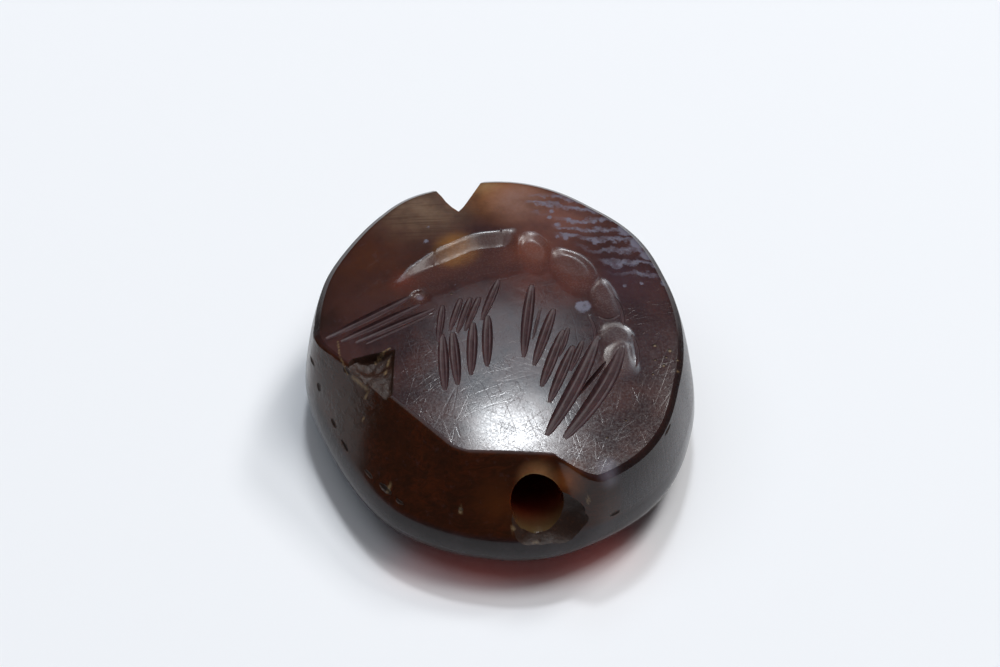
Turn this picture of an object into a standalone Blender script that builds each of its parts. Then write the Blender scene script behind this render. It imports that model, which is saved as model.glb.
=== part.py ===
"""A lens-shaped stamp seal of banded agate, engraved with an arched animal.

The stone lies engraved face up, on its domed underside. X runs across the string hole, Y along it
towards the broken end, and Z up. The origin is on the resting surface, under the middle of the
stone. Lengths are in metres, and bearings are in degrees from +X towards +Y.
"""

import math

import bmesh
import bpy
from mathutils import Matrix, Vector

MM = 0.001

# Driving sizes of the stone: the oval that its hand-cut outline follows, and its profile
STONE_WIDTH = 18.0 * MM
STONE_LENGTH = 19.6 * MM
STONE_THICKNESS = 6.8 * MM
GIRDLE_HEIGHT = 2.2 * MM
FACE_CROWN = 0.85 * MM
FACE_SIDE_MARGIN = 0.55 * MM
FACE_END_MARGIN = 0.4 * MM
SIDE_BULGE = 0.06 * MM
REST_SPOT_DIAMETER = 5.0 * MM

# The string hole, measured down from the top of the crown to its axis
HOLE_DIAMETER = 2.5 * MM
HOLE_DEPTH = 2.4 * MM

# The two facets ground on the front and the front left, and the band of girdle left under them
FRONT_FACET_INSET = 2.87 * MM
LEFT_FACET_INSET = 2.85 * MM
BAND_HEIGHT = 1.0 * MM
BAND_SETBACK = 0.26 * MM

# How wide and deep the engraving wheel went
FINE_WIDTH = 0.24 * MM
FAR_LEG_WIDTH = 0.42 * MM
FINE_CUT = 0.14 * MM
TAIL_WIDTH = 0.46 * MM
TAIL_CUT = 0.22 * MM
LEG_WIDTH = 0.56 * MM
LEG_CUT = 0.26 * MM
HORN_WIDTH = 0.72 * MM
HORN_CUT = 0.3 * MM
BODY_CUT = 0.55 * MM

# Damage: the roof broken off the far end of the hole, the flake off the left edge, the chipped mouth
FLAKE_DEPTH = 0.55 * MM
MOUTH_SETBACK = 1.1 * MM
MOUTH_CHIP_DEPTH = 0.75 * MM
MOUTH_CHIP_WIDTH = 3.7 * MM

# Bearings of the facets, and the stretch over which the front facet runs out
LEFT_FACET_BEARING = 213
FRONT_FACET_BEARING = 256
FACET_RUN_OUT = (277, 289)

# A facet's share of its inset at which it counts in full, and the band's setback away from facets
FULL_FACET_SHARE = 0.6
PLAIN_SETBACK_SHARE = 0.25

# Where the hand-cut outline stands out from a true oval: bearing, half span, and height
OUTLINE_LOBES = (
    (306, 26, 0.34 * MM), (70, 24, 0.14 * MM), (105, 10, 0.1 * MM), (32, 20, 0.16 * MM),
    (128, 18, -0.12 * MM))
GIRDLE_LOBES = ((196, 34, -0.4 * MM), (275, 24, 0.18 * MM), (330, 26, 0.16 * MM))

# Plan of the broken roof, in shares of the stone's half width and half length
ROOF_PLAN = ((-0.036, 0.765), (-0.21, 1.12), (0.285, 1.12))

# The flake's plan in the same shares, and how deep each of its corners goes in flake depths
FLAKE_CORNERS = (
    ((-0.82, 0.14), 0.5), ((-0.54, -0.01), 1), ((-0.61, -0.26), 0.6), ((-0.95, -0.45), 2.2),
    ((-1.15, 0.05), 2.2))

# Middle of the mouth's chip, to the right of the hole's axis and below it, in hole diameters
MOUTH_OFFSET = (0.2, -0.28)

# The rounded hollows of the animal's body, in shares of the half width and half length: route, width,
# depth in body cuts, and the share of the route where each is fullest
BODY_HOLLOWS = (
    ("hind_body", ((-0.47, 0.32), (-0.16, 0.45), (0.21, 0.46)), 2.9 * MM, 1, 0.66),
    ("chest", ((0.27, 0.56), (0.30, 0.25)), 1.8 * MM, 1, 0.5),
    ("shoulder", ((0.42, 0.42), (0.51, 0.08)), 1.75 * MM, 0.8, 0.5),
    ("neck", ((0.52, 0.20), (0.64, 0.07), (0.55, -0.14)), 1.3 * MM, 0.5, 0.5),
    ("head", ((0.60, -0.08), (0.65, -0.30), (0.42, -0.47)), 1.35 * MM, 0.6, 0.5))

# The figure's strokes, in the same shares. Each leg is one short stroke.
HOCK = ((-0.375, 0.275), (-0.315, 0.285))
NEAR_LEGS = (
    ((-0.29, 0.01), (-0.35, -0.29)), ((-0.23, 0.04), (-0.27, -0.25)),
    ((-0.12, 0.05), (-0.20, -0.24)), ((-0.04, 0.08), (-0.11, -0.21)))
FAR_LEGS = (
    ((-0.24, 0.19), (-0.34, -0.02)), ((-0.16, 0.20), (-0.25, 0.03)),
    ((-0.11, 0.17), (-0.18, 0.02)), ((-0.07, 0.21), (-0.15, 0.06)),
    ((0.04, 0.28), (-0.07, 0.06)))
FORE_LEGS = (
    ((0.21, 0.21), (0.08, -0.19)), ((0.28, 0.06), (0.13, -0.24)),
    ((0.32, -0.10), (0.14, -0.37)), ((0.37, -0.19), (0.16, -0.47)))
TAIL_HAIRS = (
    ((-0.85, 0.16), (-0.55, 0.225), (-0.38, 0.28)),
    ((-0.79, 0.12), (-0.56, 0.165), (-0.37, 0.22)),
    ((-0.74, 0.08), (-0.49, 0.135), (-0.30, 0.18)))
HORNS = (
    ((0.51, -0.25), (0.32, -0.43), (0.09, -0.64)),
    ((0.63, -0.23), (0.44, -0.48), (0.18, -0.68)))
WAIST_BANDS = (((0.174, 0.62), (0.16, 0.36)), ((0.215, 0.60), (0.18, 0.34)))

# How finely the curved forms are cut up, and how a stroke narrows towards its ends
BEARING_COUNT = 96
HOLE_SIDES = 20
STROKE_STATIONS = 7
STROKE_FULLNESS = 0.7
UNDERSIDE_STEPS = 6

# Cutters stand out of the stone by the lid, and the hole's cutter by the overrun, as a share of its length
LID = 0.35 * MM
HOLE_OVERRUN = 1.2
CORNER_BLEND = 0.5 * MM
LEAST_SLANT = 0.2
HALF_WIDTH = STONE_WIDTH / 2
HALF_LENGTH = STONE_LENGTH / 2
HOLE_Z = STONE_THICKNESS - HOLE_DEPTH


def clear_scene():
    for item in list(bpy.data.objects):
        bpy.data.objects.remove(item)


def smooth_min(first, second):
    """The lesser of two lengths, rounded where they nearly agree."""
    overlap = max(CORNER_BLEND - abs(first - second), 0)
    return min(first, second) - overlap * overlap / CORNER_BLEND / 4


def smooth_step(low, high, value):
    share = min(max((value - low) / (high - low), 0), 1)
    return share * share * (3 - 2 * share)


def oval_reach(bearing, side_margin, end_margin, lobes):
    """Distance from the axis to the stone's outline, less a margin at its sides and ends."""
    turn = math.radians(bearing)
    across = math.cos(turn) / (HALF_WIDTH - side_margin)
    along = math.sin(turn) / (HALF_LENGTH - end_margin)
    reach = 1 / math.hypot(across, along)
    for middle, half_span, height in lobes:
        away = abs((bearing - middle + 180) % 360 - 180) / half_span
        if away < 1:
            reach += height * (1 - away * away) ** 2
    return reach


def chord_reach(bearing, facing, distance):
    """Distance from the axis to a straight cut that faces the given bearing."""
    slant = max(math.cos(math.radians(bearing - facing)), LEAST_SLANT)
    return distance / slant


def girdle_reach(bearing):
    """The widest outline, a little flattened at the left."""
    return oval_reach(bearing, 0, 0, OUTLINE_LOBES + GIRDLE_LOBES)


def whole_face_reach(bearing):
    """The edge that the engraved face would have without its facets."""
    return oval_reach(bearing, FACE_SIDE_MARGIN, FACE_END_MARGIN, OUTLINE_LOBES)


def face_reach(bearing):
    """The edge of the engraved face, cut back by the two facets."""
    whole = whole_face_reach(bearing)
    left = chord_reach(bearing, LEFT_FACET_BEARING, HALF_WIDTH - LEFT_FACET_INSET)
    front = chord_reach(bearing, FRONT_FACET_BEARING, HALF_LENGTH - FRONT_FACET_INSET)
    cut = smooth_min(smooth_min(whole, left), front)
    if bearing > 270:
        return cut + (whole - cut) * smooth_step(*FACET_RUN_OUT, bearing)
    return cut


def facet_share(bearing):
    """How far a bearing is cut back by a facet, from 0 to 1."""
    inset = min(LEFT_FACET_INSET, FRONT_FACET_INSET)
    return smooth_step(0, FULL_FACET_SHARE, (whole_face_reach(bearing) - face_reach(bearing)) / inset)


def crown_height(x, y):
    """Height of the gently domed face above the resting surface."""
    share = (x / HALF_WIDTH) ** 2 + (y / HALF_LENGTH) ** 2
    return STONE_THICKNESS - FACE_CROWN * share


def lofted(name, rings):
    """A closed mesh through rings of points, where a ring of one point is a tip."""
    mesh = bmesh.new()
    rows = [[mesh.verts.new(point) for point in ring] for ring in rings]
    for low, high in zip(rows, rows[1:]):
        count = max(len(low), len(high))
        for here in range(count):
            there = (here + 1) % count
            corners = []
            for row, place in ((low, here), (low, there), (high, there), (high, here)):
                corner = row[place % len(row)]
                if corner not in corners:
                    corners.append(corner)
            mesh.faces.new(corners)
    for row in (rows[0], rows[-1]):
        if len(row) > 1:
            mesh.faces.new(row)
    bmesh.ops.recalc_face_normals(mesh, faces=mesh.faces)
    data = bpy.data.meshes.new(name)
    mesh.to_mesh(data)
    mesh.free()
    solid = bpy.data.objects.new(name, data)
    bpy.context.scene.collection.objects.link(solid)
    return solid


def ring_at(reach, height):
    """One ring of the stone: reach is a function of the bearing, and height one of x and y."""
    points = []
    for step in range(BEARING_COUNT):
        bearing = 360 * step / BEARING_COUNT
        x = reach(bearing) * math.cos(math.radians(bearing))
        y = reach(bearing) * math.sin(math.radians(bearing))
        points.append(Vector((x, y, height(x, y))))
    return points


def side_rings(edge, shoulder):
    """Two rings between the face's edge and the girdle band, standing out a little."""
    rings = []
    for share in (1 / 3, 2 / 3):
        bulge = SIDE_BULGE * math.sin(math.pi * share)
        ring = []
        for top, bottom in zip(edge, shoulder):
            point = top.lerp(bottom, share)
            ring.append(point + Vector((point.x, point.y, 0)).normalized() * bulge)
        rings.append(ring)
    return rings


def band_rings():
    """The rounded band over the girdle, set back further where a facet runs down to it."""
    rings = []
    for share in (1, 0.7, 0.4, 0):
        def reach(bearing):
            facet = facet_share(bearing)
            setback = BAND_SETBACK * (PLAIN_SETBACK_SHARE * (1 - facet) + facet)
            return girdle_reach(bearing) - setback * share * share
        rings.append(ring_at(reach, lambda x, y: GIRDLE_HEIGHT + BAND_HEIGHT * share))
    return rings


def underside_rings():
    """The dome under the girdle, down to the flat spot that the stone rests on."""
    spot = REST_SPOT_DIAMETER / 2
    rings = []
    for step in range(1, UNDERSIDE_STEPS + 1):
        turn = math.pi / 2 * step / UNDERSIDE_STEPS
        rings.append(ring_at(
            lambda bearing: spot + (girdle_reach(bearing) - spot) * math.cos(turn),
            lambda x, y: GIRDLE_HEIGHT * (1 - math.sin(turn))))
    return rings


def stone_body():
    """The polished lens: crown, sides, girdle, domed underside and resting spot."""
    rings = [[Vector((0, 0, STONE_THICKNESS))]]
    for share in (0.3, 0.55, 0.8, 1):
        rings.append(ring_at(lambda bearing: share * face_reach(bearing), crown_height))
    band = band_rings()
    rings += side_rings(rings[-1], band[0]) + band + underside_rings()
    return lofted("seal_stone", rings)


def on_face(across, along, lift=0.0):
    """A point over the face, given as shares of the half width and half length."""
    x = across * HALF_WIDTH
    y = along * HALF_LENGTH
    return Vector((x, y, crown_height(x, y) + lift))


def stroke(name, route, width, depth, fullest=0.5):
    """A boat-shaped cut along a route of two or three points, as an engraving wheel leaves it."""
    points = [on_face(*spot) for spot in route]
    start, end = points[0], points[-1]
    bend = points[1] if len(points) == 3 else (start + end) / 2
    skew = math.log(0.5) / math.log(fullest)
    rings = [[start + Vector((0, 0, LID))]]
    for step in range(1, STROKE_STATIONS):
        share = step / STROKE_STATIONS
        rest = 1 - share
        middle = start * rest * rest + bend * 2 * rest * share + end * share * share
        along = (bend - start) * rest + (end - bend) * share
        side = Vector((along.y, -along.x, 0)).normalized()
        swell = math.sin(math.pi * share ** skew)
        ring = []
        for degrees in (0, 45, 90, 135, 180):
            turn = math.radians(degrees)
            spot = middle + side * width / 2 * swell ** STROKE_FULLNESS * math.cos(turn)
            spot.z = crown_height(spot.x, spot.y) - depth * swell * math.sin(turn)
            ring.append(spot)
        ring.append(ring[-1] + Vector((0, 0, LID)))
        ring.append(ring[0] + Vector((0, 0, LID)))
        rings.append(ring)
    rings.append([end + Vector((0, 0, LID))])
    return lofted(name, rings)


def figure():
    """The engraved animal, with its arched body across the upper half of the face."""
    cutters = [stroke("hock", HOCK, LEG_WIDTH, LEG_CUT)]
    for name, route, width, depth_share, fullest in BODY_HOLLOWS:
        cutters.append(stroke(name, route, width, BODY_CUT * depth_share, fullest))
    groups = (
        ("near_leg", NEAR_LEGS, LEG_WIDTH, LEG_CUT), ("far_leg", FAR_LEGS, FAR_LEG_WIDTH, FINE_CUT),
        ("fore_leg", FORE_LEGS, LEG_WIDTH, LEG_CUT), ("tail_hair", TAIL_HAIRS, TAIL_WIDTH, TAIL_CUT),
        ("horn", HORNS, HORN_WIDTH, HORN_CUT), ("waist_band", WAIST_BANDS, FINE_WIDTH, BODY_CUT))
    for name, routes, width, depth in groups:
        for number, route in enumerate(routes, 1):
            cutters.append(stroke(f"{name}_{number}", route, width, depth))
    return cutters


def string_hole():
    """The round hole along Y, long enough to pass both ends of the stone."""
    rings = []
    for end in (-HOLE_OVERRUN, HOLE_OVERRUN):
        ring = []
        for step in range(HOLE_SIDES):
            turn = math.tau * step / HOLE_SIDES
            x = HOLE_DIAMETER / 2 * math.cos(turn)
            z = HOLE_Z + HOLE_DIAMETER / 2 * math.sin(turn)
            ring.append(Vector((x, end * HALF_LENGTH, z)))
        rings.append(ring)
    return lofted("string_hole", rings)


def broken_roof():
    """The V through the rim where the thin stone over the far end of the hole has broken off."""
    plan = [on_face(*spot) for spot in ROOF_PLAN]
    top = [Vector((spot.x, spot.y, STONE_THICKNESS + LID)) for spot in plan]
    bottom = [Vector((spot.x, spot.y, HOLE_Z)) for spot in plan]
    return lofted("broken_roof", (bottom, top))


def left_flake():
    """The three-sided flake off the edge between the face and the left facet."""
    top = [on_face(*spot, LID) for spot, fall in FLAKE_CORNERS]
    bottom = [on_face(*spot, -FLAKE_DEPTH * fall) for spot, fall in FLAKE_CORNERS]
    return lofted("left_flake", (bottom, top))


def mouth_chip():
    """The shallow shell broken out around the near mouth of the hole, mostly below right."""
    right, up = MOUTH_OFFSET
    middle = Vector((HOLE_DIAMETER * right, MOUTH_SETBACK - girdle_reach(270),
                     HOLE_Z + HOLE_DIAMETER * up))
    rings = [[middle - Vector((0, MOUTH_CHIP_DEPTH, 0))]]
    for degrees in (30, 60, 90, 120, 150):
        reach = MOUTH_CHIP_WIDTH / 2 * math.sin(math.radians(degrees))
        depth = MOUTH_CHIP_DEPTH * math.cos(math.radians(degrees))
        ring = []
        for step in range(HOLE_SIDES):
            turn = math.tau * (step + 0.5) / HOLE_SIDES
            ring.append(middle + Vector((reach * math.cos(turn), -depth, reach * math.sin(turn))))
        rings.append(ring)
    rings.append([middle + Vector((0, MOUTH_CHIP_DEPTH, 0))])
    return lofted("mouth_chip", rings)


def banded_agate():
    material = bpy.data.materials.new("banded_agate")
    material.use_nodes = True
    shader = material.node_tree.nodes["Principled BSDF"]
    shader.inputs["Base Color"].default_value = (0.085, 0.035, 0.022, 1)
    shader.inputs["Roughness"].default_value = 0.25
    shader.inputs["Metallic"].default_value = 0.0
    return material


def carve(stone, cutters):
    """Takes every cutter out of the stone, then shades it smooth between its sharp edges."""
    for cutter in cutters:
        cutter.hide_render = True
        cutter.display_type = "WIRE"
        cut = stone.modifiers.new(cutter.name, "BOOLEAN")
        cut.operation = "DIFFERENCE"
        cut.solver = "EXACT"
        cut.object = cutter
    view = bpy.context.evaluated_depsgraph_get()
    carved = bpy.data.meshes.new_from_object(stone.evaluated_get(view))
    stone.modifiers.clear()
    stone.data = carved
    carved.shade_smooth()
    carved.set_sharp_from_angle(angle=math.radians(30))


def centre_on_outline(stone):
    """Moves the finished stone so that the origin is under the middle of its girdle."""
    girdle = ring_at(girdle_reach, lambda x, y: 0)
    middle_x = (min(spot.x for spot in girdle) + max(spot.x for spot in girdle)) / 2
    middle_y = (min(spot.y for spot in girdle) + max(spot.y for spot in girdle)) / 2
    stone.data.transform(Matrix.Translation((-middle_x, -middle_y, 0)))


def main():
    clear_scene()
    stone = stone_body()
    carve(stone, [string_hole(), broken_roof(), left_flake(), mouth_chip()] + figure())
    centre_on_outline(stone)
    stone.data.materials.clear()
    stone.data.materials.append(banded_agate())


main()
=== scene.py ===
"""The looks of a lens-shaped stamp seal of banded agate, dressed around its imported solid.

The geometry below is worked out in millimetres, in the stone's own frame: X across the string hole,
Y along it towards the broken end, Z up from the resting surface. It repeats the solid's sizes.
"""

import math

import bpy
import numpy as np
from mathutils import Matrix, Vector

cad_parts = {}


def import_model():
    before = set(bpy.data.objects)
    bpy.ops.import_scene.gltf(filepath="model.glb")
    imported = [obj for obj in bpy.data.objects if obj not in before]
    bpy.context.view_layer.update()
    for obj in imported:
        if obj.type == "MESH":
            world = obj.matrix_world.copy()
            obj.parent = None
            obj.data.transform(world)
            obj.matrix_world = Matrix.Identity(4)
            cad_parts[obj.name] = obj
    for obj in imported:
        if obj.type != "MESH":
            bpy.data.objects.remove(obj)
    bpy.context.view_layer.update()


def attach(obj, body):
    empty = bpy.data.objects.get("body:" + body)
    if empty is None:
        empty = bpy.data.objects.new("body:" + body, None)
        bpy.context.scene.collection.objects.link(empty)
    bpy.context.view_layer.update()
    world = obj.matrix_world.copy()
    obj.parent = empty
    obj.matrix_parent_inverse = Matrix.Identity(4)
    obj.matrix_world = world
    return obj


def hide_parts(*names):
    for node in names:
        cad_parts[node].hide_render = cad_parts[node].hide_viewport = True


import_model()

MM = 0.001

# Sizes of the solid, in millimetres: a facet has a bearing and a distance from the axis, a lobe of the
# outline has a middle and half span in degrees and a height
HALF_WIDTH = 9.0
HALF_LENGTH = 9.8
THICKNESS = 6.8
GIRDLE_HEIGHT = 2.2
FACE_CROWN = 0.85
FACE_SIDE_MARGIN = 0.55
FACE_END_MARGIN = 0.4
SIDE_BULGE = 0.06
REST_SPOT_RADIUS = 2.5
HOLE_RADIUS = 1.25
HOLE_Z = 4.4
FRONT_FACET = (256, 6.93)
LEFT_FACET = (213, 6.15)
FACET_RUN_OUT = (277, 289)
BAND_HEIGHT = 1.0
BAND_SETBACK, BAND_LEAST_SHARE = 0.26, 0.25
CORNER_BLEND = 0.5
OUTLINE_LOBES = (
    (306, 26, 0.34), (70, 24, 0.14), (105, 10, 0.1), (32, 20, 0.16), (128, 18, -0.12))
GIRDLE_LOBES = ((196, 34, -0.4), (275, 24, 0.18), (330, 26, 0.16))
FACET_FULL_CUT = 1.71
STEEPEST_CHORD = 0.2
LEFT_GROUND = (168, 290, 6)
SOLID_BEARINGS = 96

# How finely the dressed stone is cut up
FACE_CELLS = 196
COLUMNS = 4 * FACE_CELLS
BEVEL_RINGS, SIDE_RINGS, BAND_RINGS, UNDERSIDE_RINGS = 3, 20, 6, 11
SHARP_ANGLE = 30
STROKE_STATIONS, STROKE_SIDES = 26, 19
BORE_STEP, BORE_RINGS = 5, 90
SHELL_STEP, SHELL_RINGS, SHELL_TIP = 8, 19, 4
LID = 0.3

# Wear of the girdle, and the worn bevel round the face, which is narrow at the facets
GIRDLE_WEAR = 0.01
BEVEL_AT_FACET, BEVEL_ELSEWHERE = 0.08, 0.22

# The wheel's lengthwise ridges in a stroke, how blunt its ends are and how round its floor is, and
# the share of its swell that is missing at each tip
STRIATION, STRIATIONS = 0.1, 1.6
STROKE_BLUNTNESS, STROKE_ROUNDNESS = 0.42, 1.3
STROKE_TIP = 0.015

# The hand polish: how far the face waves up and down, over what length, and its seed
FACE_WAVE, FACE_WAVE_LENGTH, FACE_WAVE_SEED = 0.003, 1.3, 3

# The drill's ripples in the bore, as height and radians per millimetre, and the half length of its
# cutter as a share of the stone's
BORE_RIPPLES = ((0.012, 9), (0.008, 23))
BORE_OVERRUN = 1.2

# The broken V at the far end, in shares, anticlockwise
NOTCH = (
    (-0.036, 0.765), (-0.005, 0.79), (0.05, 0.853), (0.13, 0.948), (0.2, 1.0), (0.285, 1.12),
    (-0.21, 1.12), (-0.13, 0.96), (-0.098, 0.885), (-0.085, 0.845), (-0.065, 0.805))
NOTCH_HEIGHTS = (HOLE_Z, HOLE_Z + 0.8, HOLE_Z + 1.6, THICKNESS + 0.4)

# Cuts of the engraver's wheel, as (width, depth) in millimetres
LEG, FINE, HAIR = (0.52, 0.2), (0.36, 0.14), (0.17, 0.06)

# Engraved strokes: a route in shares of the half width and half length, width, depth, and the share
# of its length where it is fullest
STROKES = (
    # Near hind legs, then the far ones behind them
    (((-0.291, 0.02), (-0.349, -0.3)), *LEG, 0.5), (((-0.237, 0.02), (-0.279, -0.285)), *LEG, 0.45),
    (((-0.122, 0.055), (-0.201, -0.245)), *LEG, 0.45), (((-0.04, 0.08), (-0.11, -0.213)), *LEG, 0.45),
    (((-0.25, 0.19), (-0.322, -0.02)), 0.38, 0.15, 0.4), (((-0.15, 0.21), (-0.25, 0.03)), *FINE, 0.4),
    (((-0.1, 0.205), (-0.215, 0.01)), *FINE, 0.4), (((-0.055, 0.2), (-0.172, 0.015)), *FINE, 0.4),
    (((0.066, 0.285), (-0.075, 0.06)), 0.42, 0.17, 0.45),
    # Forelegs and the strokes beside them
    (((0.228, 0.225), (0.15, 0.02), (0.086, -0.195)), 0.54, 0.22, 0.45),
    (((0.303, 0.06), (0.127, -0.25)), *LEG, 0.45), (((0.24, 0.08), (0.155, -0.1)), *HAIR, 0.5),
    (((0.322, -0.07), (0.135, -0.377)), *LEG, 0.5), (((0.352, -0.06), (0.262, -0.22)), *FINE, 0.5),
    (((0.352, -0.17), (0.154, -0.47)), *LEG, 0.45), (((0.405, -0.15), (0.3, -0.31)), *FINE, 0.5),
    # Two horns sweeping back over the chest, and the crease between them
    (((0.49, -0.13), (0.36, -0.36), (0.098, -0.645)), 0.72, 0.26, 0.55),
    (((0.62, -0.16), (0.52, -0.4), (0.184, -0.675)), 0.76, 0.28, 0.55),
    (((0.498, -0.28), (0.4, -0.376), (0.262, -0.49)), 0.2, 0.32, 0.45),
    (((0.55, -0.3), (0.43, -0.47), (0.25, -0.62)), *HAIR, 0.5),
    # Hairs of the tail
    (((-0.87, 0.155), (-0.552, 0.232), (-0.392, 0.285)), 0.44, 0.19, 0.45),
    (((-0.80, 0.115), (-0.564, 0.17), (-0.36, 0.222)), 0.4, 0.18, 0.45),
    (((-0.73, 0.086), (-0.486, 0.137), (-0.299, 0.178)), *FINE, 0.5),
    (((-0.68, 0.062), (-0.47, 0.112), (-0.31, 0.152)), *HAIR, 0.5),
    # Lines round the waist, and lines of the throat, jaw and brow
    (((0.15, 0.61), (0.14, 0.37)), 0.19, 0.12, 0.5), (((0.2, 0.6), (0.178, 0.35)), 0.16, 0.1, 0.5),
    (((0.61, 0.14), (0.67, 0.03), (0.63, -0.1)), *HAIR, 0.5),
    (((0.52, -0.02), (0.57, -0.06), (0.63, -0.02)), *HAIR, 0.5),
    (((0.66, -0.12), (0.7, -0.26), (0.62, -0.36)), *HAIR, 0.5),
    (((0.47, 0.0), (0.5, -0.1), (0.46, -0.16)), *HAIR, 0.5),
)

# The trough of the hind body, in shares: across, then its lower and its upper edge
TROUGH = (
    (-0.47, 0.335, 0.36), (-0.44, 0.315, 0.407), (-0.34, 0.283, 0.467), (-0.24, 0.268, 0.516),
    (-0.14, 0.268, 0.56), (0.02, 0.285, 0.6), (0.13, 0.3, 0.592), (0.2, 0.31, 0.59))
# Its depth, the share of its width where it is deepest, how its two walls curve, how far its
# corners are rounded, and the shares across where it starts, is full, starts to end and ends
TROUGH_DEPTH = 0.36
TROUGH_VALLEY = 0.75
TROUGH_SLOPES = (1.5, 1.06)
TROUGH_ROUNDING = (-0.09, -0.06, -0.03, 0, 0.03, 0.06, 0.09)
TROUGH_ENDS = (-0.475, -0.15, 0.13, 0.25)

# Round hollows of the chest, shoulder, neck and head, and the pit of the hock: middle in shares,
# half width and half length in millimetres, degrees that the top leans to the left, and depth
HOLLOWS = (
    ((0.285, 0.42), 0.98, 1.4, 4, 0.14), ((0.455, 0.27), 0.95, 1.7, 20, 0.1),
    ((0.585, 0.08), 0.72, 1.4, 10, 0.055), ((0.585, -0.15), 0.95, 1.0, -10, 0.045),
    ((0.575, -0.28), 0.8, 1.5, -22, 0.055), ((-0.344, 0.279), 0.42, 0.42, 0, 0.12))
# The share of a hollow that its steep wall takes, where that wall faces from, how far its outline
# wanders and over what length, with the seeds of that, and how sharply hollows meet
HOLLOW_WALL = 0.3
HOLLOW_STEEP_SIDE = (0.5, 0.87)
HOLLOW_WANDER, HOLLOW_LUMPS, HOLLOW_SEEDS = 0.2, 1.2, (31, 32)
HOLLOW_JOIN = 4

# The flake off the left edge: its plan in shares, anticlockwise, the pit in its torn floor as middle,
# half width and depth in millimetres, and the lumps of the floor as height, length and seed
FLAKE = ((-0.765, 0.0), (-0.93, -0.1), (-0.73, -0.36), (-0.61, -0.26), (-0.54, -0.005))
FLAKE_MIDDLE = (-0.7, -0.12)
FLAKE_DEPTH = 0.25
FLAKE_PIT = ((-0.66, -0.05), 0.95, 0.32)
FLAKE_PIT_SQUASH = 1.7
FLAKE_LUMPS = ((0.07, 0.45, 21), (0.035, 0.16, 22))
FLAKE_STEPS = 96
FLAKE_RINGS = (0.03, 0.12, 0.22, 0.32, 0.42, 0.52, 0.62, 0.72, 0.8, 0.88, 0.94, 1)
FLAKE_WALL, FLAKE_OVERLAP = 0.84, 0.02

# Chips off the side: bearing, share of the way down it, half width, half height, and depth
CHIPS = (
    (272.5, 0.75, 2.05, 1.36, 0.42), (190, 0.9, 0.3, 0.13, 0.06), (199, 0.94, 0.36, 0.12, 0.07),
    (213, 0.9, 0.3, 0.1, 0.05), (221, 0.88, 0.42, 0.15, 0.1), (227, 0.9, 0.22, 0.1, 0.06),
    (170, 0.5, 0.3, 0.14, 0.06), (177, 0.74, 0.22, 0.2, 0.05), (183, 0.1, 0.22, 0.16, 0.06),
    (165, 0.1, 0.4, 0.14, 0.06), (160, 0.06, 0.3, 0.12, 0.05), (246.5, 0.7, 0.12, 0.12, 0.05),
    (291, 0.9, 0.3, 0.12, 0.05), (315, 0.14, 0.34, 0.1, 0.06))
CHIP_SEED = 40

# The lumps of a chip's or peck's cutter: their height and length, as shares of its size
SHELL_LUMPS = ((0.18, 0.6), (0.1, 0.18))

# The bruised, pitted part of the left side: its bearings with their fade, and where it starts
PITTED_BEARINGS = (170, 196, 14)
PITTED_HEIGHTS = (1.6, 3.2)

# Pecks in the face, in shares, with their half width in millimetres
PECKS = (
    (0.769, -0.217, 0.14), (0.839, -0.253, 0.16), (0.852, -0.371, 0.12), (0.787, -0.336, 0.13),
    (0.81, -0.29, 0.09), (0.75, -0.3, 0.08), (0.865, -0.31, 0.1), (0.72, -0.38, 0.07),
    (0.4, -0.7, 0.07), (0.52, -0.62, 0.06), (0.3, -0.56, 0.05), (-0.19, 0.25, 0.08))
PECK_SQUASH, PECK_DEPTH, PECK_SEED = 0.7, 0.04, 70
PECK_GLINT = 0.45

# Worn lines and bright specks, partly pale bruised stone and partly painted glints on ridges, chips and
# pecks:
# routes in shares with their width, and places on the side as bearing, share of the way down and radius
WORN_AND_GLINT_LINES = (
    (((-0.816, 0.13), (-0.825, 0.03), (-0.8, -0.06)), 0.05), (((-0.8, -0.06), (-0.665, -0.25)), 0.06),
    (((-0.66, -0.03), (-0.56, 0.01)), 0.07), (((-0.62, -0.12), (-0.585, -0.04)), 0.06))
WORN_AND_GLINT_SPOTS = (
    (246.5, 0.7, 0.1), (200, 0.46, 0.07), (195.5, 0.2, 0.08), (262, 0.86, 0.1), (268, 0.97, 0.09),
    (222, 0.84, 0.12), (284, 0.48, 0.07))

# Where blue-white bands and flecks show in the stone: middle in shares, radius in millimetres
BAND_PLACES = (
    (0.4, 0.74, 0.7), (0.55, 0.76, 0.9), (0.6, 0.62, 1.3), (0.68, 0.5, 1.4), (0.8, 0.42, 1.3),
    (0.72, 0.32, 0.9), (0.84, 0.27, 0.9), (0.5, 0.55, 0.7))
FLECKS = (
    (0.44, 0.68, 0.16), (0.42, 0.64, 0.14), (0.45, 0.585, 0.2), (0.51, 0.615, 0.16),
    (0.43, 0.51, 0.14), (0.47, 0.495, 0.16), (0.92, 0.16, 0.3), (0.70, 0.155, 0.14),
    (0.79, 0.16, 0.1), (0.455, 0.055, 0.4), (0.84, 0.42, 0.5), (0.79, 0.51, 0.42),
    (0.87, 0.34, 0.4), (-0.21, 0.70, 0.1), (-0.24, 0.61, 0.14), (-0.35, 0.275, 0.2),
    (-0.16, 0.3, 0.08))

# Where masks start and are full: past the face's edge, above the band, as a share of a facet, and as
# the depth of a hollow; the place and width of the painted shade along the face's edge; and the fades of
# spots and lines as shares
FACE_FADE, BAND_FADE, GROUND_FADE = (-0.1, 0.02), (-0.15, 0.1), (0.02, 0.2)
HOLLOW_FULL = 0.12
RIM_SETBACK, RIM_WIDTH = 0.05, 0.22
SPOT_FADE = (0.5, 1.3)
LINE_FADE, LINE_END, LINE_THINNEST = (0.4, 1.5), 0.12, 0.4

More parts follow.
